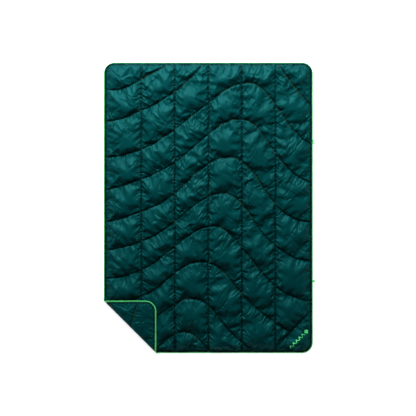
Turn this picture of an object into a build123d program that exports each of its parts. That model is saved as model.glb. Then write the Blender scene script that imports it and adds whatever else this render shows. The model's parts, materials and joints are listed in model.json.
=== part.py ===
"""Quilted camp blanket with one corner turned back.

Frame: millimetres, +Z up. The origin is the centre of the open blanket on the surface it lies on,
+Y runs along its long side and +X points to the side that carries the cape clip and its loop.
The corner at -X, -Y is folded over a diagonal crease, so it lies upside down on the rest.
Its layers are modelled flat, like the rest, and then turned half a turn about the crease hinge.
"""
import os

from build123d import *

# Driving dimensions of the whole blanket
WIDTH = 1270.0
LENGTH = 1765.0
CORNER_RADIUS = 65.0
LOFT = 24.0  # height of a filled cell above the ground
FABRIC = 0.6  # thickness of each fabric layer

# Edge finish, as distances in from the outer edge
BINDING_WIDTH = 7.5
BINDING_HEIGHT = 3.0
HEM_EDGE = 1.2  # where the hem ends inside the folded binding
HEM_LEVEL = 0.9  # underside of the hem above the ground
FILL_EDGE = 15.0  # where the filled part starts
EDGE_STITCH = 5.0  # middle of the binding's stitching

# Quilting: straight columns, and waves given by their heights (Y) at even stations (X)
COLUMN_PITCH = 203.5
COLUMNS = [COLUMN_PITCH * k for k in (-2, -1, 0, 1, 2)]
STATIONS = [-635, -521, -407, -305, -203.5, -102, 0, 102, 203.5, 305, 407, 521, 635]
# Each wave: the number of its first station, and its heights from there on
WAVES = [
    (10, [892, 735, 606]),
    (0, [718, 726, 781, 834, 892]),
    (0, [520, 546, 592, 641, 705, 792, 912]),
    (0, [303, 321, 355, 406, 475, 558, 637, 711, 755, 737, 623, 470, 372]),
    (0, [103, 137, 175, 219, 276, 358, 447, 515, 538, 476, 331, 211, 142]),
    (0, [-92, -60, -22, 23, 88, 182, 266, 303, 280, 165, 23, -60, -92]),
    (0, [-258, -238, -203, -153, -82, 2, 67, 84, 23, -123, -229, -297, -329]),
    (0, [-430, -413, -375, -313, -234, -158, -114, -138, -243, -369, -475, -539, -570]),
    (0, [-603, -579, -537, -480, -396, -338, -333, -402, -524, -620, -697, -766]),
    (0, [-773, -740, -697, -650, -583, -553, -592, -715, -814, -890]),
    (2, [-905, -842, -765, -766, -863, -960]),
]
PATCH_SEAM = [(375, -883), (635, -609)]  # straight seam across the plain corner
SEAM_LEVEL = 9.0  # height of the quilted seams
SEAM_STEPS = 5  # straight steps from one station to the next
GROOVE = 8.0  # width of the valley over a seam
THREAD_WIDTH = 1.2
THREAD_HEIGHT = 0.5

# The turned-back corner
CORNER_LEG = 320.0  # along each edge, from the blanket's corner to the crease
FOLD_LOFT = 17.0  # height of the pressed cells where two layers lie together
LAYER_GAP = 0.6  # between the two layers
HINGE_Z = FOLD_LOFT + LAYER_GAP / 2
ROLL = HINGE_Z + 0.2  # from the flat part to the outermost line of the fold
POCKET_EDGE = 8.0  # the pressed area ends this far inside the corner's own edge
HEM_GAP = 0.3  # half the gap between the two parts' hems at the crease

# Embroidered row of peaks and a diamond on the plain corner
EMBLEM_START = (502, -842)
EMBLEM_PITCH = 25.0
EMBLEM_PEAKS = 5
EMBLEM_PEAK = (10.5, 13.0, 8.5)  # half width, half height and band of one peak
EMBLEM_DIAMOND = 15.0  # half width
EMBLEM_TURN = 45.0  # direction of the row in degrees
EMBLEM_HEIGHT = 0.8

# Cape clip on the +X edge: distances in X are from its pivot
CLIP_Y = 401.0
CLIP_WIDTH = 26.0
CLIP_RAIL = 3.5
CLIP_THICK = 3.0
PIVOT_X = WIDTH / 2 + 2.4
PIVOT_Z = 1.8
PIVOT_RADIUS = 1.0
CROSSBAR = (2.7, 3.9)
PRONGS = (8.9, 10.6)
CLIP_MOUTH = 5.5  # gap between the two prongs
TAB_WIDTH = 16.0
TAB_CLEARANCE = 0.08
TAB_THICK = 0.7

# Loop on the +X edge that takes the clip
LOOP_Y = -445.0
LOOP_WIDTH = 14.0
LOOP_TAPE = 1.2
LOOP_EYE = (3.2, 11.6)  # from the blanket's edge
LOOP_HEIGHT = 7.4
LOOP_RADIUS = 2.4
LOOP_PIVOT = 1.6  # from the blanket's edge
LOOP_PIVOT_Z = 1.8

HALF_W, HALF_L = WIDTH / 2, LENGTH / 2
HINGE_MID = Vector(-HALF_W + CORNER_LEG / 2, -HALF_L + CORNER_LEG / 2, HINGE_Z)
OUTWARD = Vector(-1, -1, 0).normalized()  # from the crease towards the blanket's corner
ALONG = Vector(1, -1, 0).normalized()  # along the crease
FAR = 3000.0  # larger than the blanket
MAIN, CORNER = -1, 1  # the two sides of the crease


def slab(inset, low, high):
    """The blanket's outline, drawn in by inset, from one height to another."""
    outline = RectangleRounded(WIDTH - 2 * inset, LENGTH - 2 * inset, CORNER_RADIUS - inset)
    return Pos(0, 0, low) * extrude(outline, high - low)


def ring(outer, inner, low, high):
    """The strip between two insets."""
    return slab(outer, low, high) - slab(inner, low - 1, high + 1)


def beyond(distance, side):
    """Everything on one side of the crease that is at least this far from it."""
    middle = HINGE_MID + OUTWARD * (side * (distance + FAR / 2))
    return Plane(origin=middle, x_dir=OUTWARD, z_dir=(0, 0, 1)) * Box(FAR, FAR, FAR)


def wave_points(wave):
    first, heights = wave
    return [(STATIONS[first + k], y) for k, y in enumerate(heights)]


def band(points, half_width):
    """A flat strip along a smooth line through the points, in short straight steps."""
    line = Line(*points) if len(points) == 2 else Spline(*points)
    steps = SEAM_STEPS * (len(points) - 1)
    left, right = [], []
    for k in range(steps + 1):
        place, along = line @ (k / steps), line % (k / steps)
        across = Vector(-along.Y, along.X) * half_width
        left.append(place + across)
        right.append(place - across)
    return make_face(Polyline(*left, *reversed(right), close=True))


def patch_corner():
    """The plain corner outside the straight seam."""
    (x0, y0), (x1, y1) = PATCH_SEAM
    return make_face(Polyline((x0, y0), (x1, y1), (FAR, y1), (FAR, -FAR), (x0, -FAR), close=True))


def column_strip(x, half_width):
    return Pos(x, 0) * Rectangle(2 * half_width, LENGTH) - patch_corner()


def wave_strip(wave, half_width):
    return band(wave_points(wave), half_width) - patch_corner()


def cells(shrink, top, pressed):
    """The filled cells as one body, shrunk by a fabric's thickness or not at all."""
    half_groove = GROOVE / 2 + shrink
    inset = FILL_EDGE + shrink
    outline = RectangleRounded(WIDTH - 2 * inset, LENGTH - 2 * inset, CORNER_RADIUS - inset)
    strips = [column_strip(x, half_groove) for x in COLUMNS]
    strips += [wave_strip(wave, half_groove) for wave in WAVES]
    strips.append(band(PATCH_SEAM, half_groove))
    tops = outline - strips
    seam_level = SEAM_LEVEL - shrink
    body = Pos(0, 0, FABRIC) * extrude(outline, seam_level - FABRIC)
    body += Pos(0, 0, seam_level) * extrude(tops, top - shrink - seam_level)
    if pressed:
        side = 2 * (CORNER_LEG - POCKET_EDGE + shrink)
        pocket = RectangleRounded(side, side, CORNER_RADIUS - POCKET_EDGE + shrink)
        body -= Pos(-HALF_W, -HALF_L, FOLD_LOFT - shrink) * extrude(pocket, LOFT)
    return body


def roll(profile, side):
    """A profile drawn from the end of the flat part to the hinge line, run along the crease."""
    start = HINGE_MID + OUTWARD * (side * ROLL)
    plane = Plane(origin=start, x_dir=OUTWARD * -side, z_dir=ALONG * side)
    run = extrude(plane * profile, FAR / 2, both=True)
    return run & slab(FILL_EDGE, 0, LOFT)


def quarter_disc(radius):
    return Circle(radius) & (Pos(radius / 2, -radius / 2) * Rectangle(radius, radius))


def fold_profiles():
    """Cross-sections of half of the fold: face fabric, fill and back fabric."""
    outside, inside = quarter_disc(HINGE_Z), quarter_disc(HINGE_Z - FABRIC)
    lid_low = -LAYER_GAP / 2 - FABRIC
    lid = Pos(FOLD_LOFT / 2, lid_low + FABRIC / 2) * Rectangle(FOLD_LOFT, FABRIC)
    core = Pos(FOLD_LOFT / 2, lid_low - FOLD_LOFT / 2) * Rectangle(FOLD_LOFT, FOLD_LOFT)
    return lid & outside, core & inside, outside - inside - lid


def thread(face):
    """Stitching that lies on the quilted seams."""
    line = Pos(0, 0, SEAM_LEVEL) * extrude(face, THREAD_HEIGHT)
    return line & slab(FILL_EDGE, 0, LOFT)


def layers(side, top):
    """The sewn layers of the main part or of the corner, lying flat, by name."""
    flat, hem = beyond(ROLL, side), beyond(HEM_GAP, side)
    filling, outer = [cells(s, top, side == MAIN) & flat for s in (FABRIC, 0)]
    lid, core, skin = [roll(profile, side) for profile in fold_profiles()]
    hem_top = HEM_LEVEL + FABRIC
    back = slab(FILL_EDGE, 0, FABRIC) & flat
    back += skin
    back += ring(FILL_EDGE - FABRIC, FILL_EDGE, 0, hem_top) & hem
    back += ring(HEM_EDGE, FILL_EDGE, HEM_LEVEL, hem_top) & hem
    face = outer - filling
    face += lid
    face += ring(HEM_EDGE, FILL_EDGE, hem_top, hem_top + FABRIC) & hem
    binding = ring(0, BINDING_WIDTH, 0, BINDING_HEIGHT) - slab(HEM_EDGE, HEM_LEVEL, hem_top + FABRIC)
    stitch_edge = EDGE_STITCH - THREAD_WIDTH / 2
    stitch = ring(stitch_edge, stitch_edge + THREAD_WIDTH, BINDING_HEIGHT, BINDING_HEIGHT + THREAD_HEIGHT)
    parts = {
        "face_shell": face,
        "insulation": filling + core,
        "back_shell": back,
        "edge_binding": binding & hem,
        "edge_stitching": stitch & hem,
    }
    patch_line = band(PATCH_SEAM, THREAD_WIDTH / 2)
    columns = [column_strip(x, THREAD_WIDTH / 2) for x in COLUMNS]
    for k, column in enumerate(columns):
        parts[f"column_stitch_{k + 1}"] = thread(column - patch_line) & flat
    for k, wave in enumerate(WAVES):
        line = wave_strip(wave, THREAD_WIDTH / 2) - columns - patch_line
        parts[f"wave_stitch_{k + 1:02d}"] = thread(line) & flat
    return parts


def emblem():
    """A row of peaks that ends in a diamond, embroidered on the plain corner."""
    half, rise, weight = EMBLEM_PEAK
    lower = [(-half, -rise), (0, rise - weight), (half, -rise)]
    upper = [(x, y + weight) for x, y in reversed(lower)]
    peak = make_face(Polyline(*lower, *upper, close=True))
    size = EMBLEM_DIAMOND
    diamond = make_face(Polyline((-size, 0), (0, -size), (size, 0), (0, size), close=True))
    faces = [Pos(k * EMBLEM_PITCH, 0) * peak for k in range(EMBLEM_PEAKS)]
    faces.append(Pos(EMBLEM_PEAKS * EMBLEM_PITCH + size - half, 0) * diamond)
    place = Pos(*EMBLEM_START, LOFT) * Rot(0, 0, EMBLEM_TURN)
    return [place * extrude(face, EMBLEM_HEIGHT) for face in faces]


def cape_clip():
    """Flat ring with a bar for the tab and two prongs that leave a mouth for the loop."""
    inner = CLIP_WIDTH - 2 * CLIP_RAIL
    (bar0, bar1), (prong0, prong1) = CROSSBAR, PRONGS
    bar = Rot(90, 0, 0) * Cylinder(PIVOT_RADIUS, CLIP_WIDTH)
    body = bar + Pos((bar0 + bar1) / 2, 0) * Box(bar1 - bar0, CLIP_WIDTH, CLIP_THICK)
    body += Pos((prong0 + prong1) / 2, 0) * Box(prong1 - prong0, CLIP_WIDTH, CLIP_THICK)
    for side in (-1, 1):
        y = side * (inner + CLIP_RAIL) / 2
        body += Pos(prong1 / 2, y) * Box(prong1, CLIP_RAIL, CLIP_THICK)
        body += Pos(0, y) * Rot(90, 0, 0) * Cylinder(CLIP_THICK / 2, CLIP_RAIL)
    body -= Pos((prong0 + prong1) / 2, 0) * Box(2 * (prong1 - prong0), CLIP_MOUTH, 2 * CLIP_THICK)
    return Pos(PIVOT_X, CLIP_Y, PIVOT_Z) * body


def clip_tab():
    """Fabric tab that wraps the clip's bar and is sewn into the binding."""
    inner = PIVOT_RADIUS + TAB_CLEARANCE
    outer = inner + TAB_THICK
    reach = PIVOT_X - HALF_W
    profile = Circle(outer) + Pos(-reach / 2, 0) * Rectangle(reach, 2 * TAB_THICK) - Circle(inner)
    tab = extrude(Plane.XZ * profile, TAB_WIDTH / 2, both=True)
    return Pos(PIVOT_X, CLIP_Y, PIVOT_Z) * tab


def cape_loop():
    """Tape loop whose tail turns about a line just outside the binding."""
    near, far = LOOP_EYE
    eye = Pos((near + far) / 2, LOOP_HEIGHT / 2) * RectangleRounded(far - near, LOOP_HEIGHT, LOOP_RADIUS)
    opening = Pos((near + far) / 2, LOOP_HEIGHT / 2) * RectangleRounded(
        far - near - 2 * LOOP_TAPE, LOOP_HEIGHT - 2 * LOOP_TAPE, LOOP_RADIUS - LOOP_TAPE
    )
    neck = near + LOOP_TAPE / 2 - LOOP_PIVOT
    tail = Circle(LOOP_TAPE) + Pos(neck / 2, 0) * Rectangle(neck, 2 * LOOP_TAPE)
    profile = eye + Pos(LOOP_PIVOT, LOOP_PIVOT_Z) * tail - opening
    tape = extrude(Plane.XZ * profile, LOOP_WIDTH / 2, both=True)
    return Pos(HALF_W, LOOP_Y, 0) * tape


def build():
    """Every sub-part in its place, by name."""
    parts = layers(MAIN, LOFT)
    parts["patch_stitch"] = thread(band(PATCH_SEAM, THREAD_WIDTH / 2))
    parts["emblem"] = Compound(children=emblem())
    parts["clip_tab"] = clip_tab()
    parts["cape_clip"] = cape_clip()
    parts["cape_loop"] = cape_loop()
    hinge = Axis(HINGE_MID, ALONG)
    for name, piece in layers(CORNER, FOLD_LOFT).items():
        parts["corner_" + name] = piece.rotate(hinge, 180)
    return {name: piece for name, piece in parts.items() if piece and piece.volume > 0}


os.makedirs("parts", exist_ok=True)
for part_name, part in build().items():
    part.label = part_name
    export_step(part, f"parts/{part_name}.step")
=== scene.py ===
import json
from math import cos, pi, radians, sin

import bpy
import numpy as np
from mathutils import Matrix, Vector
from mathutils.bvhtree import BVHTree
from mathutils.geometry import delaunay_2d_cdt
from mathutils.kdtree import KDTree


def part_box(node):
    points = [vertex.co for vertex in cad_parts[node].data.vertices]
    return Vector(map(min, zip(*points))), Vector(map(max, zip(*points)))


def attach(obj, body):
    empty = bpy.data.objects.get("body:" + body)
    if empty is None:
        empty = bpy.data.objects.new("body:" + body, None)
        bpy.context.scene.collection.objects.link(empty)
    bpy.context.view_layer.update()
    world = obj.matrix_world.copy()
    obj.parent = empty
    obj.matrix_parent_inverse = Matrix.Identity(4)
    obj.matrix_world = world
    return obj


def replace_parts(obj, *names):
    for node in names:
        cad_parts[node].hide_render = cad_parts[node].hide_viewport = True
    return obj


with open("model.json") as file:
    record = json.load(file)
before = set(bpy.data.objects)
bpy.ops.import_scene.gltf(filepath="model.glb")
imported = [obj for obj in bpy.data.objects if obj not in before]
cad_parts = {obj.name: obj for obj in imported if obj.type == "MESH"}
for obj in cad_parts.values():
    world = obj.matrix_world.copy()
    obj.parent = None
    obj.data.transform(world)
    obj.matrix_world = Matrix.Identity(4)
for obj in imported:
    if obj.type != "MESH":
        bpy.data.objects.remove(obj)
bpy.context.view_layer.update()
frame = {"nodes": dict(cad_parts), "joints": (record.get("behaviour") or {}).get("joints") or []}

# Sizes in metres. The outline and the crease come from the frame.
edge_low, edge_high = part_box("edge_binding")
HALF = np.array([(edge_high[k] - edge_low[k]) / 2 for k in (0, 1)])
CORNER_RADIUS = 0.065
FILL_EDGE = 0.015  # where the filled part starts, in from the edge
EDGE_STITCH = 0.005  # where the binding is sewn, in from the edge
STITCH_END = 0.0025  # how far from the crease the edge stitching stops
SHELL_EDGE = 0.003  # where the shells end, inside the binding
TOUCH = 0.0001  # what is this near a line counts as on it
SEAM_LEVEL = 0.0075  # height at which the face is sewn down
COLUMN_RISE = 0.002  # how much higher the columns are sewn
COLUMN_WANDER = 0.0022  # how far a column strays from straight
HEM_LEVEL = 0.0022
HEM_WANDER = 0.0009  # how far the hem lifts here and there
BACK_HEM = HEM_LEVEL - 0.0008
LOFT_LIMIT = 0.040  # highest point of the face

# Quilting: straight columns, and waves given by their places at stations across the blanket
COLUMN_PITCH = 0.2035
COLUMNS = [COLUMN_PITCH * k for k in (-2, -1, 0, 1, 2)]
STATIONS = np.array([-635, -521, -407, -305, -203.5, -102, 0, 102, 203.5, 305, 407, 521, 635]) / 1000
# Each wave: the number of its first station, and its places from there on, in millimetres
WAVES = [
    (10, [892, 735, 606]),
    (0, [718, 726, 781, 834, 892]),
    (0, [520, 546, 592, 641, 705, 792, 912]),
    (0, [303, 321, 355, 406, 475, 558, 637, 711, 755, 737, 623, 470, 372]),
    (0, [103, 137, 175, 219, 276, 358, 447, 515, 538, 476, 331, 211, 142]),
    (0, [-92, -60, -22, 23, 88, 182, 266, 303, 280, 165, 23, -60, -92]),
    (0, [-258, -238, -203, -153, -82, 2, 67, 84, 23, -123, -229, -297, -329]),
    (0, [-430, -413, -375, -313, -234, -158, -114, -138, -243, -369, -475, -539, -570]),
    (0, [-603, -579, -537, -480, -396, -338, -333, -402, -524, -620, -697, -766]),
    (0, [-773, -740, -697, -650, -583, -553, -592, -715, -814, -890]),
    (2, [-905, -842, -765, -766, -863, -960]),
]
PATCH_SEAM = np.array([(0.375, -0.883), (0.635, -0.609)])

# The two sides of the crease: a sign, the body, and how the names of its nodes start
SIDES = ((-1, "blanket", ""), (1, "corner", "corner_"))


def joint_place(name):
    return next(joint["pos_m"] for joint in frame["joints"] if joint["name"] == name)


HINGE_X, HINGE_Y, HINGE_Z = joint_place("corner_fold")
HINGE = np.array([HINGE_X, HINGE_Y])
OUTWARD = np.array([-1.0, -1.0]) / 2**0.5
ALONG = np.array([-OUTWARD[1], OUTWARD[0]])
CORNER_LEG = (HALF[0] + HINGE_X) * 2  # edge that each side of the corner takes
ROLL = HINGE_Z + 0.0002  # from the flat part to the outermost line of the fold
PINCH = 0.97  # share of the thickness lost on the crease
PRESSED = 0.0163  # highest point of either layer where two lie together
PRESS = 0.62  # share of the loft lost there
CORNER_HANG = 0.0055  # how far the turned-back corner's edge hangs below its top
ROLL_DENT = 0.0035  # how far a seam pulls the fold's skin in

# How the shells are blown up
FACE_STEP = 0.007  # mesh spacing
FACE_EXTRA = 0.05  # share by which the cloth is longer than the space it is sewn to
DOME = 0.017  # height of the starting shape over the seams
DOME_REACH = 0.085  # distance from a seam where the dome is full
CLOTH_FRAMES = 24
BACK_STEP = 0.012
BACK_LEVEL = 0.0005  # height of the back fabric over the ground
BACK_DIMPLE = 0.0028  # how far a seam pulls the back fabric in
CORNER_STEP = 0.0045
CORNER_DOME = 0.005
CORNER_EXTRA = 0.01
CORNER_LIMIT = 0.042  # highest point of the turned-back corner
CORNER_SEWN = 0.0034  # how far its back is pulled in at the seams
BATT_STEP = 0.016
BATT_REACH = 0.012  # the filling stays below every place of the shells this near
BATT_CLEAR = 0.0008  # its least distance from a shell, and its least thickness
BATT_SHARE = 0.35  # its crown, as a share of the dome over the shells' seams
SLUMP = 0.65  # how far a puff hangs over for its height


# ---- numbers and curves

def smoothstep(x, low, high):
    t = np.clip((x - low) / (high - low), 0, 1)
    return t * t * (3 - 2 * t)


def noise(points, size, seed):
    """Smooth noise from -1 to 1 over the plane, with features of about this size."""
    lattice = np.random.default_rng(seed).uniform(-1, 1, (256, 256))
    grid = np.asarray(points)[:, :2] / size + 1000
    cell = np.floor(grid).astype(int)
    x, y = smoothstep(grid - cell, 0, 1).T
    (x0, y0), (x1, y1) = cell.T % 256, (cell.T + 1) % 256
    low = lattice[x0, y0] * (1 - x) + lattice[x1, y0] * x
    high = lattice[x0, y1] * (1 - x) + lattice[x1, y1] * x
    return low * (1 - y) + high * y


def inset(points):
    """How far points lie inside the blanket's rounded outline."""
    q = np.abs(np.asarray(points)[:, :2]) - (HALF - CORNER_RADIUS)
    outside = np.linalg.norm(np.maximum(q, 0), axis=1)
    inside = np.minimum(q.max(axis=1), 0)
    return CORNER_RADIUS - outside - inside


def filled(points, reach):
    """0 in the hem, 1 from this far inside the edge on."""
    return smoothstep(inset(points), FILL_EDGE, reach)


def past_crease(points):
    """Distance beyond the crease, positive on the corner's side."""
    return (np.asarray(points)[:, :2] - HINGE) @ OUTWARD


def past_patch(points):
    """Distance beyond the straight seam of the plain corner."""
    along = PATCH_SEAM[1] - PATCH_SEAM[0]
    across = np.array([along[1], -along[0]]) / np.linalg.norm(along)
    return (np.asarray(points)[:, :2] - PATCH_SEAM[0]) @ across


def mirrored(points):
    """Points turned over the crease, still in plan."""
    flat = np.array(points, float)
    flat[:, :2] -= 2 * past_crease(points)[:, None] * OUTWARD
    return flat


def folded(points, side):
    """Points of one side of the open blanket at rest, with the corner half a turn about the hinge."""
    if side < 0:
        return points
    turned = mirrored(points)
    turned[:, 2] = 2 * HINGE_Z - turned[:, 2]
    return turned


def with_height(plan, height):
    return np.column_stack([plan[:, :2], np.broadcast_to(height, len(plan))])


def spline(xs, ys):
    """Natural cubic spline through the points."""
    n = len(xs)
    step = np.diff(xs)
    matrix, right = np.eye(n), np.zeros(n)
    for i in range(1, n - 1):
        matrix[i, i - 1:i + 2] = step[i - 1], 2 * (step[i - 1] + step[i]), step[i]
        right[i] = 6 * ((ys[i + 1] - ys[i]) / step[i] - (ys[i] - ys[i - 1]) / step[i - 1])
    bend = np.linalg.solve(matrix, right)

    def at(x):
        i = np.clip(np.searchsorted(xs, x) - 1, 0, n - 2)
        a, b = (xs[i + 1] - x) / step[i], (x - xs[i]) / step[i]
        bow = ((a**3 - a) * bend[i] + (b**3 - b) * bend[i + 1]) * step[i] ** 2 / 6
        return a * ys[i] + b * ys[i + 1] + bow

    return at


def travelled(line):
    """How far along a line each of its points is."""
    return np.r_[0, np.cumsum(np.linalg.norm(np.diff(line, axis=0), axis=1))]


def left_of(line):
    """Unit directions to the left of a line: inwards from an anticlockwise outline."""
    along = np.gradient(line, axis=0)
    along /= np.linalg.norm(along, axis=1)[:, None]
    return np.stack([-along[:, 1], along[:, 0]], axis=1)


def resample(line, step):
    """The same line with points at even steps, ends kept."""
    run = travelled(line)
    places = np.linspace(0, run[-1], max(int(round(run[-1] / step)), 1) + 1)
    return np.stack([np.interp(places, run, line[:, k]) for k in range(line.shape[1])], axis=1)


def clipped(line, keep):
    """The stretches of a line where keep is true."""
    runs, start = [], None
    for k, inside in enumerate(list(keep) + [False]):
        if inside and start is None:
            start = k
        if not inside and start is not None:
            if k - start > 1:
                runs.append(line[start:k])
            start = None
    return runs


def outline(distance, step=0.002):
    """The closed outline drawn in by a distance, anticlockwise, first point repeated."""
    radius = CORNER_RADIUS - distance
    centre = HALF - CORNER_RADIUS
    points = []
    for k, (sx, sy) in enumerate([(1, 1), (-1, 1), (-1, -1), (1, -1)]):
        for angle in np.linspace(k * pi / 2, (k + 1) * pi / 2, 24):
            points.append((sx * centre[0] + radius * cos(angle), sy * centre[1] + radius * sin(angle)))
    return resample(np.array(points + points[:1]), step)


def wave_line(wave):
    first, places = wave
    xs = STATIONS[first:first + len(places)]
    x = np.linspace(xs[0], xs[-1], 2400)
    return np.stack([x, spline(xs, np.array(places) / 1000)(x)], axis=1)


def column_line(x):
    y = np.linspace(-HALF[1], HALF[1], 2400)
    wander = COLUMN_WANDER * noise(np.stack([np.full_like(y, x * 7), y], axis=1), 0.09, 5)
    return np.stack([x + wander, y], axis=1)


def seams():
    """Every quilting seam by name, as runs inside the filled part."""
    lines = {f"column_stitch_{k + 1}": column_line(x) for k, x in enumerate(COLUMNS)}
    lines.update({f"wave_stitch_{k + 1:02d}": wave_line(w) for k, w in enumerate(WAVES)})
    runs = {
        name: clipped(line, (inset(line) > FILL_EDGE) & (past_patch(line) < 0))
        for name, line in lines.items()
    }
    patch = PATCH_SEAM[0] + np.linspace(0, 1, 600)[:, None] * (PATCH_SEAM[1] - PATCH_SEAM[0])
    runs["patch_stitch"] = clipped(patch, inset(patch) > FILL_EDGE)
    return runs


SEAMS = seams()
SEAM_RUNS = [(name, run) for name, runs in SEAMS.items() for run in runs]
SEAM_POINTS = np.vstack([run for _, run in SEAM_RUNS])[::4]


def beside_crease(offset, places):
    """Places along the line at a distance beyond the crease."""
    return HINGE + offset * OUTWARD + places[:, None] * ALONG


def crease_line(offset):
    """The line at a distance beyond the crease, inside the outline of the shells."""
    line = beside_crease(offset, np.linspace(-0.4, 0.4, 1600))
    return clipped(line, inset(line) > SHELL_EDGE)[0]


def plan_tree(points):
    """A tree that finds points by their place in plan."""
    tree = KDTree(len(points))
    for k, p in enumerate(points):
        tree.insert((p[0], p[1], 0), k)
    tree.balance()
    return tree


def nearest(points, targets):
    """Distance in plan from each point to the nearest target, and that target's number."""
    tree = plan_tree(targets)
    found = [tree.find((p[0], p[1], 0)) for p in points]
    return np.array([f[2] for f in found]), np.array([f[1] for f in found])


def sewn_lines(offset):
    """Every line that the shells are cut or sewn along, the crease's moved out by an offset."""
    return [outline(SHELL_EDGE), outline(FILL_EDGE), crease_line(offset), *(run for _, run in SEAM_RUNS)]


# ---- sheets of cloth

ROW_SHARE = 0.866  # rows to points in a row, for even triangles
JITTER = 0.06
LINE_GAP = 0.6  # no free point is nearer to a line


def triangulate(step, lines, keep):
    """A mesh over the region where keep is true, with edges along every line, as points, faces and which
    points lie on a line."""
    points, edges = [], []
    for line in lines:
        run = resample(line, step)
        first = len(points)
        points.extend(map(tuple, run))
        edges.extend((first + k, first + k + 1) for k in range(len(run) - 1))
    fixed = np.array(points)
    x = np.arange(-HALF[0], HALF[0], step)
    y = np.arange(-HALF[1], HALF[1], step * ROW_SHARE)
    grid = np.stack(np.meshgrid(x, y), axis=2)
    grid[1::2, :, 0] += step / 2
    grid = grid.reshape(-1, 2)
    grid += np.random.default_rng(3).normal(0, step * JITTER, grid.shape)
    grid = grid[keep(grid)]
    grid = grid[nearest(grid, fixed)[0] > step * LINE_GAP]
    everything = [Vector(p) for p in np.vstack([fixed, grid])]
    plan, _, faces, origins, _, _ = delaunay_2d_cdt(everything, edges, [], 0, 1e-5)
    plan = np.array([tuple(p) for p in plan])
    on_line = np.array([not o or min(o) < len(fixed) for o in origins])
    faces = np.array([tuple(f) for f in faces])
    faces, plan, on_line = compact(faces[keep(plan[faces].mean(axis=1))], plan, on_line)
    return plan, faces, on_line


def compact(faces, *arrays):
    """The faces renumbered over the points that they use, and each array cut down to those points."""
    used = np.unique(faces)
    renumber = np.full(used.max() + 1, -1)
    renumber[used] = np.arange(len(used))
    return renumber[faces], *(values[used] for values in arrays)


def mesh_object(name, points, faces, cloth=None):
    """A smooth mesh. cloth gives each point's place on the flat cloth, which its weave follows."""
    mesh = bpy.data.meshes.new(name)
    mesh.from_pydata([tuple(p) for p in points], [], [tuple(int(k) for k in f) for f in faces])
    mesh.polygons.foreach_set("use_smooth", [True] * len(mesh.polygons))
    mesh.update()
    piece = bpy.data.objects.new(name, mesh)
    bpy.context.collection.objects.link(piece)
    if cloth is not None:
        add_places(piece, "cloth", with_height(np.asarray(cloth), 0))
    return piece


def add_places(piece, name, places):
    """Keeps a place for each point, which materials read by this name."""
    attribute = piece.data.attributes.new(name, "FLOAT_VECTOR", "POINT")
    attribute.data.foreach_set("vector", np.asarray(places, float).ravel())


def simulate(points, faces, rest, pinned, extra, pressure=20.0):
    """Blows the sheet up with Blender's cloth from its starting points. Its cut shape is rest, larger by
    the share extra, so the cloth between the pinned points swells and puckers."""
    piece = mesh_object("cloth_run", points, faces)
    piece.shape_key_add(name="start")
    cut = piece.shape_key_add(name="cut")
    cut.data.foreach_set("co", np.asarray(rest).ravel())
    group = piece.vertex_groups.new(name="pinned")
    group.add([int(k) for k in np.nonzero(pinned)[0]], 1.0, "REPLACE")
    modifier = piece.modifiers.new("Cloth", "CLOTH")
    cloth = modifier.settings
    cloth.quality = 6
    cloth.mass = 0.1
    cloth.tension_stiffness = 80.0
    cloth.compression_stiffness = 80.0
    cloth.shear_stiffness = 24.0
    cloth.bending_stiffness = 150.0
    cloth.air_damping = 2.0
    cloth.vertex_group_mass = "pinned"
    cloth.rest_shape_key = cut
    cloth.shrink_min = -extra
    cloth.shrink_max = -extra
    cloth.use_pressure = True
    cloth.uniform_pressure_force = pressure
    cloth.effector_weights.gravity = 0
    modifier.collision_settings.use_collision = False
    modifier.point_cache.frame_start = 1
    modifier.point_cache.frame_end = CLOTH_FRAMES
    scene = bpy.context.scene
    for k in range(1, CLOTH_FRAMES + 1):
        scene.frame_set(k)
    blown = piece.evaluated_get(bpy.context.evaluated_depsgraph_get()).to_mesh()
    result = np.empty(len(blown.vertices) * 3)
    blown.vertices.foreach_get("co", result)
    scene.frame_set(1)
    bpy.data.objects.remove(piece)
    return result.reshape(-1, 3)


def hem_height(points, base):
    """Height of the flat hem, which lifts a little here and there."""
    return base + HEM_WANDER * (1 + noise(points, 0.06, 8))


def bend(points, skin, side):
    """Takes the sheet on one side of the crease round the roll. skin is 1 where it is the roll's skin. The
    layers pinch together on the crease, so that nothing gapes when the corner is opened."""
    c = past_crease(points)
    near = np.abs(c) < ROLL
    angle = (1 - np.abs(c) / ROLL) * pi / 2
    pinch = 1 - PINCH * smoothstep(angle, pi / 4, pi / 2)
    radius = ROLL - (ROLL - np.maximum(HINGE_Z - points[:, 2], 0.0002)) * pinch
    across = side * (ROLL - radius * np.sin(angle))
    height = HINGE_Z - radius * np.cos(angle)
    bent = points.copy()
    bent[:, :2] += (across - c)[:, None] * OUTWARD
    bent[:, 2] = height
    share = (near * skin)[:, None]
    return points * (1 - share) + bent * share


def corner_lift(points):
    """What the turned-back corner's edge hangs by, as a rise of the open corner."""
    return CORNER_HANG * smoothstep(past_crease(points), 0.015, 0.09)


# ---- the shells

def pin_height(points):
    """Height of the face where it is sewn down: hem, seams and crease."""
    hem = hem_height(points, HEM_LEVEL)
    column = np.abs(points[:, 0][:, None] - np.array(COLUMNS)).min(axis=1)
    seam = SEAM_LEVEL + COLUMN_RISE * np.exp(-((column / 0.02) ** 2)) + 0.0009 * noise(points, 0.045, 21)
    level = hem + (seam - hem) * filled(points, 0.05)
    share = (1 - smoothstep(np.abs(past_crease(points)), 0, 0.022)) * filled(points, 0.04)
    return level * (1 - share) + PRESSED * share


def soft_cap(height, limit, knee=0.004):
    """Heights that bend over towards a limit in place of passing it."""
    over = np.maximum(height - (limit - knee), 0)
    return np.where(over > 0, limit - knee * np.exp(-over / knee), height)


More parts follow.
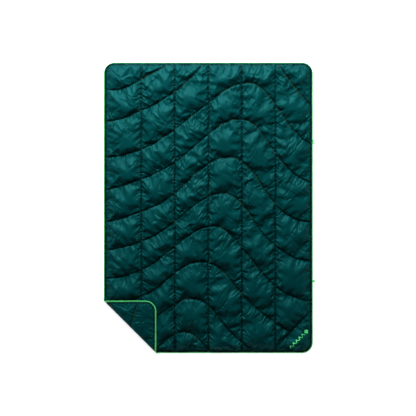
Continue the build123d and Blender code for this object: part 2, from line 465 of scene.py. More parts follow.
def shape_face(points, base, side):
    """Presses the face flat where two layers lie together, and takes its hem round the fold. All the points
    are on one side of the crease."""
    c = past_crease(points)
    cover = np.where(c < 0, inset(mirrored(points)), 1.0)
    share = smoothstep(cover, -0.03, 0.018)
    shaped = points.copy()
    height = base + (points[:, 2] - base) * (1 - PRESS * share)
    height = soft_cap(height, LOFT_LIMIT + (PRESSED - LOFT_LIMIT) * share, 0.002 + 0.004 * (1 - share))
    edge = 1 - filled(points, 0.045)
    shaped[:, 2] = height + np.where(c > 0, corner_lift(points) * edge, 0)
    return bend(shaped, 1 - filled(points, 0.035), side)


def sewn_base(plan, pinned, height):
    """For each point, its distance from the stitching and the height of the stitching nearest to it."""
    distance, index = nearest(plan, plan[pinned])
    return distance, height(plan[pinned])[index]


def dome(distance, height):
    return height * np.sqrt(1 - (1 - np.clip(distance / DOME_REACH, 0, 1)) ** 2)


RUN_APART = 3.7  # metres added to the travel of each next run, so that no two look alike


def along_seams(points, family):
    """For each point: how far along the nearest seam of a family it lies, its distance from that seam, and
    the same with a sign, positive above or right of the seam or inside the hem."""
    runs = [run for name, run in SEAM_RUNS if name.startswith(family)] or [outline(FILL_EDGE)]
    places = np.vstack([run[::2] for run in runs])
    travel = np.concatenate([(travelled(run) + RUN_APART * k)[::2] for k, run in enumerate(runs)])
    distance, index = nearest(points, places)
    if family == "hem":
        signed = inset(points) - FILL_EDGE
    else:
        axis = 0 if family == "column" else 1
        signed = distance * np.sign(points[:, axis] - places[index, axis])
    return np.stack([travel[index], distance, signed], axis=1)


def quilted(name, points, faces, plan):
    """A shell, with where its seams are kept for its material."""
    piece = mesh_object("quilted_" + name, points, faces, plan)
    for family in ("wave", "column", "hem"):
        add_places(piece, "along_" + family, along_seams(plan, family))
    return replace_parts(piece, name)


PUCKERS = (("wave", 0.04, 0.0018, 0.3), ("column", 0.035, 0.0028, 0.6))  # reach, height and slant


def puckers(points, seed):
    """Soft folds that run away from the seams, as heights."""
    total = np.zeros(len(points))
    for family, reach, height, slant in PUCKERS:
        place = along_seams(points, family)
        place[:, 0] += slant * place[:, 1]
        fold = noise(place / (0.021, 0.09, 1), 1, seed)
        near = smoothstep(place[:, 1], 0, 0.010) * (1 - smoothstep(place[:, 1], reach * 0.5, reach * 1.5))
        total += height * fold * near * np.abs(noise(place / (0.13, 0.5, 1), 1, seed + 2))
    return total


def slump(points, base, distance):
    """The loft hangs over towards the foot of the blanket, so each puff is steep below and gentle above."""
    shift = SLUMP * np.maximum(points[:, 2] - base, 0) * smoothstep(distance, 0, 0.022)
    hung = points.copy()
    hung[:, 1] -= shift * smoothstep(inset(points), 0.02, 0.06)
    return hung


def face_shells():
    """The quilted face, blown up in one piece and then cut along the crease."""
    keep = SHELL_EDGE - TOUCH
    plan, faces, on_line = triangulate(FACE_STEP, sewn_lines(0), lambda p: inset(p) > keep)
    pinned = on_line | (inset(plan) < FILL_EDGE + TOUCH)
    distance, base = sewn_base(plan, pinned, pin_height)
    uneven = 0.0025 * noise(plan, 0.075, 17) * smoothstep(distance, 0.01, 0.05)
    height = base + dome(distance, DOME) + uneven
    start = with_height(plan, np.where(pinned, pin_height(plan), height))
    blown = simulate(start, faces, with_height(plan, 0), pinned, FACE_EXTRA)
    blown[:, 2] += puckers(plan, 41) * ~pinned
    hung = slump(blown, base, distance)
    pieces = []
    for side, _, prefix in SIDES:
        half = faces[past_crease(plan[faces].mean(axis=1)) * side > 0]
        half, points, height, cloth = compact(half, hung, base, plan)
        points = folded(shape_face(points, height, side), side)
        pieces.append(quilted(prefix + "face_shell", points, half, cloth))
    return pieces


def seam_crossings():
    """Where the quilting seams cross the crease, along it."""
    places = []
    for _, run in SEAM_RUNS:
        c = past_crease(run)
        places.extend((run[k] - HINGE) @ ALONG for k in np.nonzero(c[:-1] * c[1:] < 0)[0])
    return places


def back_height(points):
    """Height of the back fabric of the open blanket."""
    edge = 1 - filled(points, 0.03)
    dimple = BACK_DIMPLE * np.exp(-((nearest(points, SEAM_POINTS)[0] / 0.014) ** 2))
    return BACK_LEVEL + (hem_height(points, BACK_HEM) - BACK_LEVEL) * edge + dimple * (1 - edge)


def roll_skin(side):
    """The back fabric round half of the fold, as points, faces and places on the cloth, with the corner
    still open."""
    rows, columns = 12, 150
    crossings = seam_crossings()
    plans, points = [], []
    for c in np.linspace(0.00001, ROLL, rows + 1) * side:
        half = CORNER_LEG / 2**0.5 - c - SHELL_EDGE * 2**0.5
        places = np.linspace(-half, half, columns + 1)
        line = beside_crease(c, places)
        turn = 1 - abs(c) / ROLL
        dent = 0.0009 * (1 + noise(np.stack([places, places * 0], axis=1), 0.013, 31))
        for place in crossings:
            dent += ROLL_DENT * np.exp(-(((places - place) / 0.008) ** 2))
        plans.append(line)
        points.append(with_height(line, back_height(line) + dent * smoothstep(turn, 0, 0.5)))
    points = bend(np.vstack(points), 1, side)
    faces = []
    for r in range(rows):
        for k in range(columns):
            a, b = r * (columns + 1) + k, (r + 1) * (columns + 1) + k
            faces.append((a, a + 1, b + 1, b) if side < 0 else (a, b, b + 1, a + 1))
    return points, faces, np.vstack(plans)


def joined(first, second):
    """Two meshes as one, each given as points, faces and places on the cloth."""
    shift = len(first[0])
    faces = [tuple(f) for f in first[1]] + [tuple(k + shift for k in f) for f in second[1]]
    return np.vstack([first[0], second[0]]), faces, np.vstack([first[2], second[2]])


def half_plan(step, side, start):
    """A mesh over one side of the crease, from a distance start on, with the seams along its edges."""
    def beyond(points):
        return past_crease(points) * side > start - TOUCH

    lines = [part for line in sewn_lines(side * start) for part in clipped(line, beyond(line))]
    return triangulate(step, lines, lambda p: (inset(p) > SHELL_EDGE - TOUCH) & beyond(p))


def back_shell():
    """The back of the main part, flat on the ground, and its half of the fold."""
    plan, faces, _ = half_plan(BACK_STEP, -1, ROLL)
    flat = with_height(plan, back_height(plan)), faces[:, ::-1], plan
    return quilted("back_shell", *joined(flat, roll_skin(-1)))


def corner_back_height(points):
    """Height of the turned-back corner's back fabric where it is sewn down, at rest."""
    hem = hem_height(points, BACK_HEM) + corner_lift(points)
    level = hem + (CORNER_SEWN - hem) * filled(points, 0.05)
    share = 1 - smoothstep(past_crease(points), ROLL, ROLL + 0.02)
    share = share * filled(points, 0.03)
    return 2 * HINGE_Z - (level * (1 - share) + BACK_LEVEL * share)


def corner_back_shell():
    """The back of the turned-back corner, which faces up, and its half of the fold."""
    plan, faces, on_line = half_plan(CORNER_STEP, 1, ROLL)
    faces = faces[:, ::-1]
    pinned = on_line | (inset(plan) < FILL_EDGE + TOUCH)
    distance, base = sewn_base(plan, pinned, corner_back_height)
    height = np.where(pinned, corner_back_height(plan), base + dome(distance, CORNER_DOME))
    start = with_height(mirrored(plan), height)
    blown = simulate(start, faces, with_height(plan, 0), pinned, CORNER_EXTRA, pressure=7.0)
    blown[:, 2] = soft_cap(blown[:, 2], CORNER_LIMIT)
    skin, skin_faces, skin_plan = roll_skin(1)
    both = joined((blown, faces, plan), (folded(skin, 1), skin_faces, skin_plan))
    return quilted("corner_back_shell", *both)


def shell_limit(shell, side, plan, pick):
    """The highest or lowest place of a shell within reach of each point of the open blanket."""
    places = folded(np.array([tuple(v.co) for v in shell.data.vertices]), side)
    tree = plan_tree(places)
    limits = []
    for p in plan:
        found = tree.find_range((p[0], p[1], 0), BATT_REACH) or [tree.find((p[0], p[1], 0))]
        limits.append(pick(places[f[1], 2] for f in found))
    return np.array(limits)


def batt(side, name, face_piece, back_piece):
    """The filling of one side of the crease: a closed pad a little smaller than the space in the shells."""
    plan, faces, on_line = half_plan(BATT_STEP, side, ROLL + 0.002)
    keep = (inset(plan)[faces] > FILL_EDGE + 0.01).all(axis=1) & ~on_line[faces].any(axis=1)
    distance, base = sewn_base(plan, on_line, pin_height)
    faces, plan, distance, base = compact(faces[keep], plan, distance, base)
    top = shape_face(with_height(plan, base + dome(distance, DOME) * BATT_SHARE), base, side)
    under = 2 * HINGE_Z - corner_back_height(plan) if side > 0 else back_height(plan)
    gap = np.maximum(top[:, 2] - under, 0.0004)
    top[:, 2] -= np.minimum(0.0045, gap * 0.4)
    low = with_height(plan, under + np.minimum(0.0015, gap * 0.3))
    top[:, 2] = np.minimum(top[:, 2], shell_limit(face_piece, side, top, min) - BATT_CLEAR)
    low[:, 2] = np.maximum(low[:, 2], shell_limit(back_piece, side, low, max) + BATT_CLEAR)
    faces = faces[((top - low)[:, 2] > BATT_CLEAR)[faces].all(axis=1)]
    faces, plan, top, low = compact(faces, plan, top, low)
    counts = {}
    for a, b, c in faces:
        for edge in ((a, b), (b, c), (c, a)):
            counts[edge] = counts.get(edge, 0) + 1
    rim = [(a, b) for a, b in counts if (b, a) not in counts]
    n = len(plan)
    walls = [(a, a + n, b + n, b) for a, b in rim]
    shell = [tuple(f) for f in faces] + [tuple(f + n)[::-1] for f in faces] + walls
    points = folded(np.vstack([top, low]), side)
    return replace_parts(mesh_object("padded_" + name, points, shell, np.vstack([plan, plan])), name)


# ---- binding and stitching

BINDING_PROFILE = [  # inset and height, in millimetres, round the folded tape
    (7.5, 3.0), (5.4, 3.2), (3.2, 3.25), (1.4, 3.0), (0.4, 2.4), (0.0, 1.6), (0.4, 0.7),
    (1.4, 0.15), (3.2, 0.0), (7.5, 0.05), (7.5, 0.75), (1.7, 0.9), (1.7, 2.2), (7.5, 2.35),
]
BINDING_SHARE = {-1: 0.66, 1: 1.08}  # the tape has turned under a little on the open edges
BINDING_FACES = (0.0033, 0.0001)  # heights at which it is sewn, above and below


def edge_place(points, side):
    """Takes edge pieces of the open blanket to where they lie: up with the hem, round the fold and back."""
    placed = points.copy()
    placed[:, 2] += hem_height(points, 0)
    if side > 0:
        placed[:, 2] += corner_lift(points)
    return folded(bend(placed, 1, side), side)


def side_runs(line, side):
    """The stretch of a closed outline on one side of the crease, in one run."""
    other = np.nonzero(past_crease(line) * side < 0)[0]
    line = np.roll(line[:-1], -other[len(other) // 2], axis=0)
    return max(clipped(line, past_crease(line) * side > 0), key=len)


def binding(side, name):
    """The folded tape round the edge, on one side of the crease."""
    run = resample(side_runs(outline(0, 0.0015), side), 0.004)
    inward, travel = left_of(run), travelled(run)
    profile = np.array(BINDING_PROFILE) / 1000 * (BINDING_SHARE[side], 1)
    girth = travelled(profile)
    rings, cloth = [], []
    for k, (across, height) in enumerate(profile):
        wander = 0.0005 * noise(run, 0.03, 12) * (across > 0.002)
        rings.append(edge_place(with_height(run + inward * (across + wander)[:, None], height), side))
        cloth.append(np.stack([travel, np.full(len(run), girth[k])], axis=1))
    points = np.stack(rings, axis=1).reshape(-1, 3)
    cloth = np.stack(cloth, axis=1).reshape(-1, 2)
    faces = tube_faces(len(run), len(profile))
    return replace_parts(mesh_object("taped_" + name, points, faces, cloth), name)


def tube_faces(count, size):
    """Faces of a closed tube of rings of the same size, with both ends."""
    faces = []
    for k in range(count - 1):
        for j in range(size):
            a, b = k * size + j, k * size + (j + 1) % size
            faces.append((a, b, b + size, a + size))
    faces.append(tuple(range(size))[::-1])
    faces.append(tuple(range((count - 1) * size, count * size)))
    return faces


STITCH_PITCH = 0.0045
STITCH_LENGTH = 0.0036
STITCH_RADIUS = 0.00055
THREAD_RISE = 0.0003  # how far a thread stands out from the shells
STITCH_RINGS = [(0.0, 0.3, -0.7), (0.2, 1.0, 0.0), (0.8, 1.0, 0.0), (1.0, 0.3, -0.7)]  # place, girth, drop
STITCH_FACES = tube_faces(4, 4)


def stitches(name, runs):
    """Threads end to end along runs of points, each one dipping at its ends."""
    points, faces, cloth = [], [], []
    ring = np.array([(1, 0), (0, 1), (-1, 0), (0, -1)]) * STITCH_RADIUS
    for run in runs:
        travel = travelled(run)
        for start in np.arange(STITCH_PITCH / 2, travel[-1] - STITCH_PITCH / 2, STITCH_PITCH):
            a, b = [np.array([np.interp(start + d, travel, run[:, k]) for k in range(3)])
                    for d in (-STITCH_LENGTH / 2, STITCH_LENGTH / 2)]
            along = (b - a) / np.linalg.norm(b - a)
            side = np.cross(along, (0, 0, 1.0))
            side /= max(np.linalg.norm(side), 1e-9)
            up = np.cross(side, along)
            first = len(points)
            for share, girth, drop in STITCH_RINGS:
                middle = a + (b - a) * share + up * STITCH_RADIUS * drop
                points.extend(middle + side * x * girth + up * z * girth for x, z in ring)
                cloth.extend((start + share * STITCH_LENGTH, j * STITCH_RADIUS) for j in range(4))
            faces.extend(tuple(first + k for k in f) for f in STITCH_FACES)
    return mesh_object(name, points, faces, cloth)


def seam_stitches():
    """The quilting threads on both faces, on the main part and on the corner."""
    pieces = []
    for name, runs in SEAMS.items():
        for side, body, prefix in SIDES:
            parts = [part for run in runs for part in clipped(run, past_crease(run) * side > 0)]
            parts = [resample(part, 0.004) for part in parts if len(part) > 8]
            if not parts:
                continue
            lines = []
            for part in parts:
                base = pin_height(part)
                lines.append(folded(shape_face(with_height(part, base + THREAD_RISE), base, side), side))
                away = clipped(part, past_crease(part) * side > ROLL)
                if side > 0:
                    lines += [with_height(mirrored(p), corner_back_height(p) + THREAD_RISE) for p in away]
                else:
                    lines += [with_height(p, back_height(p) - THREAD_RISE) for p in away]
            piece = stitches("sewn_" + prefix + name, lines)
            if prefix + name in frame["nodes"]:
                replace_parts(piece, prefix + name)
            pieces.append((piece, side, body, name))
    return pieces


def edge_stitches(side, name):
    """The line of thread through the binding, on both faces."""
    run = resample(side_runs(outline(EDGE_STITCH * BINDING_SHARE[side]), side), 0.003)
    run = run[np.abs(past_crease(run)) > STITCH_END]
    lines = [edge_place(with_height(run, z), side) for z in BINDING_FACES]
    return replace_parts(stitches("sewn_" + name, lines), name)


# ---- small parts

EMBLEM_START = np.array([0.502, -0.842])
EMBLEM_PITCH = 0.025
EMBLEM_PEAKS = 5
EMBLEM_PEAK = np.array([0.0105, 0.013, 0.0105])  # half width, half height and band of one peak
EMBLEM_DIAMOND = 0.015
EMBLEM_TURN = radians(45)
EMBLEM_HEIGHT = 0.0011
EMBLEM_ROUND = 0.002  # distance from its rim where it is full height
EMBLEM_DIVE = 0.0003  # how far its rim lies under the fabric
EMBLEM_STEP = 0.0011  # mesh spacing


def emblem_shapes():
    """Outlines of the embroidered row: peaks that end in a diamond."""
    half, rise, weight = EMBLEM_PEAK
    lower = [(-half, -rise), (0, rise - weight), (half, -rise)]
    upper = [(x, y + weight) for x, y in reversed(lower)]
    size = EMBLEM_DIAMOND
    shapes = [np.array(lower + upper) + (k * EMBLEM_PITCH, 0) for k in range(EMBLEM_PEAKS)]
    diamond = np.array([(-size, 0), (0, -size), (size, 0), (0, size)])
    shapes.append(diamond + (EMBLEM_PEAKS * EMBLEM_PITCH + size - half, 0))
    return shapes


def inside_shape(points, shape):
    """Which points lie inside a closed outline."""
    inside = np.zeros(len(points), bool)
    for a, b in zip(shape, np.roll(shape, -1, axis=0)):
        crosses = (a[1] > points[:, 1]) != (b[1] > points[:, 1])
        x = a[0] + (points[:, 1] - a[1]) * (b[0] - a[0]) / (b[1] - a[1] + 1e-12)
        inside ^= crosses & (points[:, 0] < x)
    return inside


def emblem(ground):
    """Raised satin stitching that lies on the surface of a piece."""
    mesh = ground.data
    tree = BVHTree.FromPolygons([v.co for v in mesh.vertices], [tuple(p.vertices) for p in mesh.polygons])
    turn = np.array([(cos(EMBLEM_TURN), sin(EMBLEM_TURN)), (-sin(EMBLEM_TURN), cos(EMBLEM_TURN))])
    points, faces, cloth = [], [], []
    for shape in emblem_shapes():
        rim = resample(np.vstack([shape, shape[:1]]), EMBLEM_STEP)[:-1]
        spans = [np.arange(shape[:, k].min(), shape[:, k].max(), EMBLEM_STEP) for k in (0, 1)]
        grid = np.stack(np.meshgrid(*spans), axis=2).reshape(-1, 2)
        grid = grid[inside_shape(grid, shape) & (nearest(grid, rim)[0] > EMBLEM_STEP * 0.6)]
        plan = np.vstack([rim, grid])
        edges = [(k, (k + 1) % len(rim)) for k in range(len(rim))]
        plan, _, part, _, _, _ = delaunay_2d_cdt([Vector(p) for p in plan], edges, [], 1, 1e-6)
        plan = np.array([tuple(p) for p in plan])
        away = nearest(plan, rim)[0]
        crown = EMBLEM_HEIGHT * np.sqrt(np.clip(away / EMBLEM_ROUND, 0, 1)) - EMBLEM_DIVE
        place = plan @ turn + EMBLEM_START
        first = len(points)
        for (x, y), lift in zip(place, crown):
            z = tree.ray_cast(Vector((x, y, 0.1)), Vector((0, 0, -1)))[0].z
            points.append((x, y, z + lift))
        cloth.extend(map(tuple, plan))
        faces.extend(tuple(first + k for k in f) for f in part)
    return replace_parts(mesh_object("embroidered_emblem", points, faces, cloth), "emblem")


def rounded(path, radius):
    """A run of straight lines with its corners rounded."""
    path = np.array(path, float)
    points = [path[0]]
    for before, corner, after in zip(path, path[1:], path[2:]):
        into, out = before - corner, after - corner
        reach = min(radius, np.linalg.norm(into) * 0.49, np.linalg.norm(out) * 0.49)
        start = corner + into / np.linalg.norm(into) * reach
        end = corner + out / np.linalg.norm(out) * reach
        for t in np.linspace(0, 1, 6):
            points.append(start * (1 - t) ** 2 + 2 * corner * t * (1 - t) + end * t * t)
    return np.array(points + [path[-1]])


STRAP_SECTION = [(-1, 0.0), (-0.97, 0.8), (-0.9, 1.0), (-0.45, 1.0), (0, 1.0),
                 (0.45, 1.0), (0.9, 1.0), (0.97, 0.8), (1, 0.0)]  # its upper half, as shares


def strap(name, path, y, width, thickness, radius):
    """A woven tape that follows a path of places outwards and up, at a place along the edge."""
    path = resample(rounded(path, radius), 0.0006)
    normal, travel = left_of(path), travelled(path)
    thick = thickness / 2
    section = [(x * width / 2, z) for x, z in STRAP_SECTION]
    section += [(x, -z) for x, z in reversed(section[1:-1])]
    points, cloth = [], []
    for k, (x, z) in enumerate(path):
        for across, side in section:
            points.append((x + normal[k, 0] * thick * side, y + across, z + normal[k, 1] * thick * side))
            cloth.append((travel[k], across))
    return mesh_object(name, points, tube_faces(len(path), len(section)), cloth)


# ---- materials

def linear(*colour):
    """An 8-bit colour as Blender's linear one."""
    return tuple(((v / 255 + 0.055) / 1.055) ** 2.4 if v > 10 else v / 255 / 12.92 for v in colour)


class Finish:
    """A Principled material and short ways to add nodes to it."""

    def __init__(self, name, **settings):
        self.material = bpy.data.materials.new(name)
        self.material.use_nodes = True
        self.tree = self.material.node_tree
        self.shader = self.tree.nodes["Principled BSDF"]
        for socket, value in settings.items():
            self.shader.inputs[socket.replace("_", " ")].default_value = value
        self.height = None

    def node(self, kind, **inputs):
        node = self.tree.nodes.new("ShaderNode" + kind)
        for socket, value in inputs.items():
            self.feed(value, node.inputs[socket.replace("_", " ")])
        return node

    def feed(self, value, socket):
        if isinstance(value, bpy.types.NodeSocket):
            self.tree.links.new(value, socket)
        else:
            socket.default_value = value

    def math(self, operation, first, second=0.0):
        node = self.tree.nodes.new("ShaderNodeMath")
        node.operation = operation
        self.feed(first, node.inputs[0])
        self.feed(second, node.inputs[1])
        return node.outputs[0]

    def scaled(self, vector, scale):
        return self.node("Mapping", Vector=vector, Scale=scale).outputs[0]

    def turned(self, vector, angle):
        return self.node("Mapping", Vector=vector, Rotation=(0, 0, angle)).outputs[0]

    def place(self, name="cloth"):
        """What add_places kept by this name: by default, the place on the flat cloth."""
        node = self.node("Attribute")
        node.attribute_name = name
        return node.outputs["Vector"]

    def ramp(self, value, low, high):
        """0 at low, 1 at high, smooth between."""
        node = self.node("MapRange", Value=value, From_Min=low, From_Max=high)
        node.interpolation_type = "SMOOTHSTEP"
        return node.outputs[0]

    def painted_seam_shade(self, family, above, below, amount):
        """Painted shade: a dark line in the base colour where the fabric dives into a seam, wider under the
        overhang above it.
        """
        parts = self.node("SeparateXYZ", Vector=self.place(family)).outputs
        side = self.ramp(parts["Z"], -0.001, 0.001)
        reach = self.math("ADD", self.math("MULTIPLY", side, above - below), below)
        dark = self.ramp(self.math("DIVIDE", parts["Y"], reach), 1.0, 0.0)
        return self.math("MULTIPLY", dark, amount)

    def grooves(self, place, detail, roughness, width):
        """Narrow grooves where a noise passes its middle, as heights up to 0."""
        line = self.math("SUBTRACT", self.noise(place, 1.0, detail, roughness), 0.5)
        return self.math("SUBTRACT", self.ramp(self.math("ABSOLUTE", line), 0.0, width), 1.0)

    def creases(self, family, pitch, slant, reach, width):
        """Sharp creases that run away from a family of seams, slanting down, as heights up to 0."""
        parts = self.node("SeparateXYZ", Vector=self.place(family)).outputs
        along = self.math("ADD", parts["X"], self.math("MULTIPLY", parts["Y"], slant))
        place = self.node("CombineXYZ", X=self.math("MULTIPLY", along, 1 / pitch),
                          Y=self.math("MULTIPLY", parts["Y"], 0.3 / pitch)).outputs[0]
        patchy = self.ramp(self.noise(self.scaled(place, (0.35, 0.35, 1.0)), 1.0, 1.0), 0.38, 0.62)
        start, end = self.ramp(parts["Y"], 0.0, 0.005), self.ramp(parts["Y"], reach, reach * 0.3)
        share = self.math("MULTIPLY", self.math("MULTIPLY", start, end), patchy)
        return self.math("MULTIPLY", self.grooves(place, 1.5, 0.4, width), share)

    def folds(self, vector, turn, size, stretch, width):
        """Long narrow folds in one direction, here and there, as heights up to 0."""
        place = self.scaled(self.turned(vector, turn), (1 / size, 1 / (size * stretch), 1.0))
        patchy = self.ramp(self.noise(self.scaled(place, (0.3, 0.6, 1.0)), 1.0, 1.0), 0.5, 0.62)
        return self.math("MULTIPLY", self.grooves(place, 2.0, 0.5, width), patchy)

    def object(self):
        return self.node("TexCoord").outputs["Object"]

    def noise(self, vector, scale, detail=2.0, roughness=0.5):
        node = self.node("TexNoise", Vector=vector, Scale=scale, Detail=detail, Roughness=roughness)
        return node.outputs[0]

    def ripple(self, vector, axis, pitch):
        """A wave from -1 to 1 along one axis of a vector."""
        place = self.node("SeparateXYZ", Vector=vector).outputs[axis]
        return self.math("SINE", self.math("MULTIPLY", place, 2 * pi / pitch))

    def bump(self, height, distance, strength=1.0):
        node = self.node("Bump", Height=height, Distance=distance, Strength=strength)
        if self.height is not None:
            self.tree.links.new(self.height, node.inputs["Normal"])
        self.height = node.outputs[0]
        self.tree.links.new(self.height, self.shader.inputs["Normal"])

    def colours(self, factor, *stops):
        """The base colour from stops of (place, colour)."""
        ramp = self.node("ValToRGB", Fac=factor)
        elements = ramp.color_ramp.elements
        for place, _ in stops[1:-1]:
            elements.new(place)
        for element, (place, colour) in zip(elements, stops):
            element.position, element.color = place, (*colour, 1)
        self.tree.links.new(ramp.outputs[0], self.shader.inputs["Base Color"])

    def roughness(self, factor, low, high):
        node = self.node("MapRange", Value=factor, To_Min=low, To_Max=high)
        self.tree.links.new(node.outputs[0], self.shader.inputs["Roughness"])


NYLON = linear(0, 63, 65)
WEAVE_PITCH = 0.0011
TAPE_RIB = 0.0012


def shade(colour, share):
    return tuple(v * share for v in colour)


def nylon(name, tone=1.0, crinkle=0.0006, creased=1.0):
    """Calendered woven nylon: a fine weave, a slight sheen, small crinkles, creases from the seams, and
    painted shade along the seams and hem.
    """
    finish = Finish(name, Roughness=0.45, Sheen_Weight=0.06, Sheen_Roughness=0.4,
                    Sheen_Tint=(*linear(5, 200, 200), 1), IOR=1.16,
                    Specular_Tint=(*shade(linear(84, 213, 211), 5.0), 1))
    cloth = finish.place()
    # Painted shade: the base colour darkens along the wave and column seams and inside the hem, where the
    # fabric dives, and is mixed with random tone patches
    painted_shades = finish.math("MAXIMUM", finish.painted_seam_shade("along_wave", 0.015, 0.004, 0.85),
                         finish.painted_seam_shade("along_column", 0.010, 0.010, 0.9))
    painted_shades = finish.math("MAXIMUM", painted_shades, finish.painted_seam_shade("along_hem", 0.006, 0.03, 0.95))
    tone_and_painted_shade = finish.math("SUBTRACT", finish.noise(cloth, 9.0, 4.0, 0.6), painted_shades)
    colour = shade(NYLON, tone)
    stops = [(place, shade(colour, share)) for place, share in ((0.0, 0.3), (0.3, 0.86), (0.75, 1.16))]
    finish.colours(tone_and_painted_shade, *stops)
    finish.bump(finish.creases("along_wave", 0.042, 0.3, 0.064, 0.075), 0.0050 * creased)
    finish.bump(finish.creases("along_column", 0.030, 0.45, 0.045, 0.09), 0.0058 * creased)
    finish.bump(finish.creases("along_hem", 0.024, 0.3, 0.035, 0.09), 0.0040)
    finish.bump(finish.folds(cloth, radians(35), 0.044, 3.5, 0.10), 0.0040 * creased)
    finish.bump(finish.folds(cloth, radians(-50), 0.050, 3.0, 0.10), 0.0032 * creased)
    finish.roughness(finish.noise(cloth, 60.0, 3.0), 0.36, 0.52)
    finish.bump(finish.noise(finish.scaled(cloth, (1.0, 0.55, 1.0)), 75.0, 4.0, 0.55), crinkle)
    warp, weft = finish.ripple(cloth, 0, WEAVE_PITCH), finish.ripple(cloth, 1, WEAVE_PITCH)
    finish.bump(finish.math("MULTIPLY", warp, weft), 0.00006, 0.6)
    return finish.material


def tape(name, colour, painted_glow):
    """Woven binding tape with ribs across it and a selvedge weave; its emission is painted light that makes
    it glow a little.
    """
    finish = Finish(name, Roughness=0.6, Sheen_Weight=0.35, Sheen_Roughness=0.5,
                    Emission_Color=(*painted_glow, 1), Emission_Strength=1.0)
    cloth = finish.place()
    wear = finish.noise(cloth, 45.0, 4.0, 0.6)
    finish.colours(wear, (0.25, shade(colour, 0.82)), (0.75, shade(colour, 1.12)))
    finish.roughness(finish.noise(cloth, 300.0), 0.5, 0.72)
    finish.bump(finish.ripple(cloth, 0, TAPE_RIB), 0.00012)
    finish.bump(finish.ripple(cloth, 1, TAPE_RIB * 0.6), 0.00005)
    return finish.material


def thread(name, colour, pitch=0.0011, painted_glow=(0.0, 0.0, 0.0)):
    """Twisted polyester thread. A glow given is painted light: an emission that brightens it."""
    finish = Finish(name, Roughness=0.5, Sheen_Weight=0.04, Specular_IOR_Level=0.3,
                    Specular_Tint=(*shade(colour, 3.0), 1),
                    Emission_Color=(*painted_glow, 1), Emission_Strength=1.0)
    cloth = finish.place()
    finish.colours(finish.noise(cloth, 120.0, 3.0), (0.3, shade(colour, 0.8)), (0.7, shade(colour, 1.15)))
    finish.bump(finish.ripple(finish.turned(cloth, radians(40)), 0, pitch), 0.00010)
    return finish.material


def plastic(name, colour):
    """Moulded acetal with a fine spark-eroded grain."""
    finish = Finish(name, Roughness=0.42, Specular_IOR_Level=0.5)
    place = finish.object()
    finish.colours(finish.noise(place, 90.0, 3.0), (0.3, shade(colour, 0.9)), (0.7, shade(colour, 1.08)))
    finish.roughness(finish.noise(place, 900.0, 2.0), 0.36, 0.5)
    finish.bump(finish.noise(place, 1800.0, 2.0), 0.00005)
    return finish.material


def wadding(name):
    """White synthetic fibre."""
    finish = Finish(name, Roughness=0.9, Sheen_Weight=0.5)
    place = finish.object()
    clumps = finish.noise(place, 60.0, 5.0, 0.7)
    finish.colours(clumps, (0.3, (0.62, 0.63, 0.62)), (0.7, (0.86, 0.87, 0.86)))
    finish.bump(finish.noise(finish.scaled(place, (1, 1, 4)), 260.0, 6.0, 0.7), 0.0012)
    return finish.material


# ---- the blanket

MATERIALS = {  # by slot
    "face_nylon": nylon("face_fabric"),
    "back_nylon": nylon("back_fabric", 0.95, 0.0004, 0.5),
    # The tape's last colour is painted glow: an emission that brightens it
    "green_binding": tape("green_tape", linear(72, 222, 118), (0.012, 0.085, 0.035)),
    "dark_thread": thread("dark_thread", linear(9, 60, 60)),
    "wave_thread": thread("wave_thread", linear(120, 142, 52)),
    # The emblem thread's last colour is painted glow: an emission that brightens it
    "emblem_thread": thread("emblem_thread", linear(104, 250, 152), 0.0016, (0.015, 0.14, 0.05)),
    "fibre_fill": wadding("fibre"),
}


def fit(piece, body, slot):
    """Gives a piece its body and the material of this slot."""
    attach(piece, body)
    piece.data.materials.append(MATERIALS[slot])
    return piece


face, corner_face = face_shells()
back, corner_back = back_shell(), corner_back_shell()
shells = {-1: (face, back), 1: (corner_face, corner_back)}
mark = fit(emblem(face), "blanket", "emblem_thread")

taped, sewn = {}, {-1: [], 1: []}
for side, body, prefix in SIDES:
    fill = fit(batt(side, prefix + "insulation", *shells[side]), body, "fibre_fill")
    taped[side] = fit(binding(side, prefix + "edge_binding"), body, "green_binding")
    sewn[side].append(fit(edge_stitches(side, prefix + "edge_stitching"), body, "dark_thread"))
for piece, side, body, name in seam_stitches():
    sewn[side].append(fit(piece, body, "wave_thread" if name.startswith("wave") else "dark_thread"))

for side, body, _ in SIDES:
    fit(shells[side][0], body, "face_nylon")
    fit(shells[side][1], body, "back_nylon")

# Clip, its tab and the loop, on the right edge. Paths are places outwards and heights.
clip = frame["nodes"]["cape_clip"]
clip.data.materials.clear()
clip.data.materials.append(plastic("green_plastic", linear(70, 215, 105)))
edges = clip.modifiers.new("edges", "BEVEL")
edges.width = 0.00045
edges.segments = 3
edges.limit_method = "ANGLE"

TAB_GIRTH = 0.00143  # radius of its turn round the clip's bar
TAB_GAP = 0.0004  # half the space between its two ends
TAB_ENDS = (-0.003, 0.001)  # from inside the binding to just outside the edge
TAB_TAPE = (0.0158, 0.00066, 0.0006)  # width, thickness and the radius of its bends
pivot_x, clip_y, pivot_z = joint_place("clip_swing")
turns = [(pivot_x + TAB_GIRTH * cos(a), pivot_z + TAB_GIRTH * sin(a)) for a in np.linspace(2.2, -2.2, 9)]
tab_path = [(HALF[0] + out, pivot_z + TAB_GAP) for out in TAB_ENDS] + turns
tab_path += [(HALF[0] + out, pivot_z - TAB_GAP) for out in reversed(TAB_ENDS)]
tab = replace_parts(strap("taped_clip_tab", tab_path, clip_y, *TAB_TAPE), "clip_tab")
fit(tab, "blanket", "green_binding")

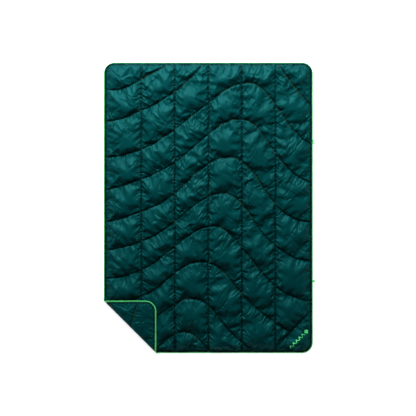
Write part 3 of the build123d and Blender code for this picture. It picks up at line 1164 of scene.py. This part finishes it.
LOOP_PATH = np.array([  # millimetres from the line it turns about
    (-1.3, 0.6), (2.9, 0.6), (3.9, 1.6), (3.9, 4.6), (9.4, 4.6), (9.4, -1.2), (3.9, -1.2), (2.9, -0.6),
    (-1.3, -0.6),
])
LOOP_TAPE = (0.0138, 0.0011, 0.0018)
pivot_x, loop_y, pivot_z = joint_place("loop_swing")
loop_path = LOOP_PATH / 1000 + (pivot_x, pivot_z)
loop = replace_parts(strap("taped_cape_loop", loop_path, loop_y, *LOOP_TAPE), "cape_loop")
fit(loop, "loop", "green_binding")


# ---- floor, light and camera

for name in ("Cube", "Light", "Camera"):
    if name in bpy.data.objects:
        bpy.data.objects.remove(bpy.data.objects[name])

FLOOR_LEVEL = -0.0003
FLOOR_FLAT = 24.0  # radius of its flat part
FLOOR_SWEEP = (6.0, 5.5)  # how far out and up it then curves
FLOOR_SIDES = 64


def backdrop():
    """A round floor that sweeps up into a low wall far outside the object."""
    rings = [(FLOOR_FLAT * share, FLOOR_LEVEL) for share in (0.1, 0.4, 0.7, 1.0)]
    for turn in np.linspace(0, pi / 2, 9)[1:]:
        out, up = FLOOR_SWEEP[0] * sin(turn), FLOOR_SWEEP[1] * (1 - cos(turn))
        rings.append((FLOOR_FLAT + out, FLOOR_LEVEL + up))
    angles = np.arange(FLOOR_SIDES) * 2 * pi / FLOOR_SIDES
    points = [(radius * cos(a), radius * sin(a), z) for radius, z in rings for a in angles]
    open_tube = tube_faces(len(rings), FLOOR_SIDES)[:-1]
    return mesh_object("floor", points, [face[::-1] for face in open_tube])


floor = backdrop()
paper = Finish("pale_paper", Base_Color=(0.9, 0.9, 0.9, 1), Roughness=0.9,
               Emission_Color=(1, 1, 1, 1), Emission_Strength=0.85)
floor.data.materials.append(paper.material)

WINDOW_PLACE = Vector((-0.5, 3.0, 1.9))
WINDOW_SIZE = (3.0, 1.2)
WINDOW_POWER = 185
lamp = bpy.data.lights.new("window", "AREA")
lamp.shape = "RECTANGLE"
lamp.size, lamp.size_y = WINDOW_SIZE
lamp.energy = WINDOW_POWER
window = bpy.data.objects.new("window", lamp)
window.location = WINDOW_PLACE
window.rotation_euler = (-WINDOW_PLACE).to_track_quat("-Z", "Y").to_euler()
bpy.context.collection.objects.link(window)

world = bpy.data.worlds.new("studio")
bpy.context.scene.world = world
world.use_nodes = True
sky = world.node_tree.nodes["Background"].inputs
sky["Color"].default_value = (1, 1, 1, 1)
sky["Strength"].default_value = 0.10

VIEW_WIDTH = 2.528  # metres across the picture at the floor
VIEW_CENTRE = (-0.0018, -0.0012)
CAMERA_HEIGHT = 8.0
lens = bpy.data.cameras.new("camera")
lens.sensor_width = 36.0
lens.lens = lens.sensor_width * CAMERA_HEIGHT / VIEW_WIDTH
camera = bpy.data.objects.new("camera", lens)
camera.location = (*VIEW_CENTRE, CAMERA_HEIGHT)
bpy.context.collection.objects.link(camera)
bpy.context.scene.camera = camera
bpy.context.scene.view_settings.view_transform = "Standard"
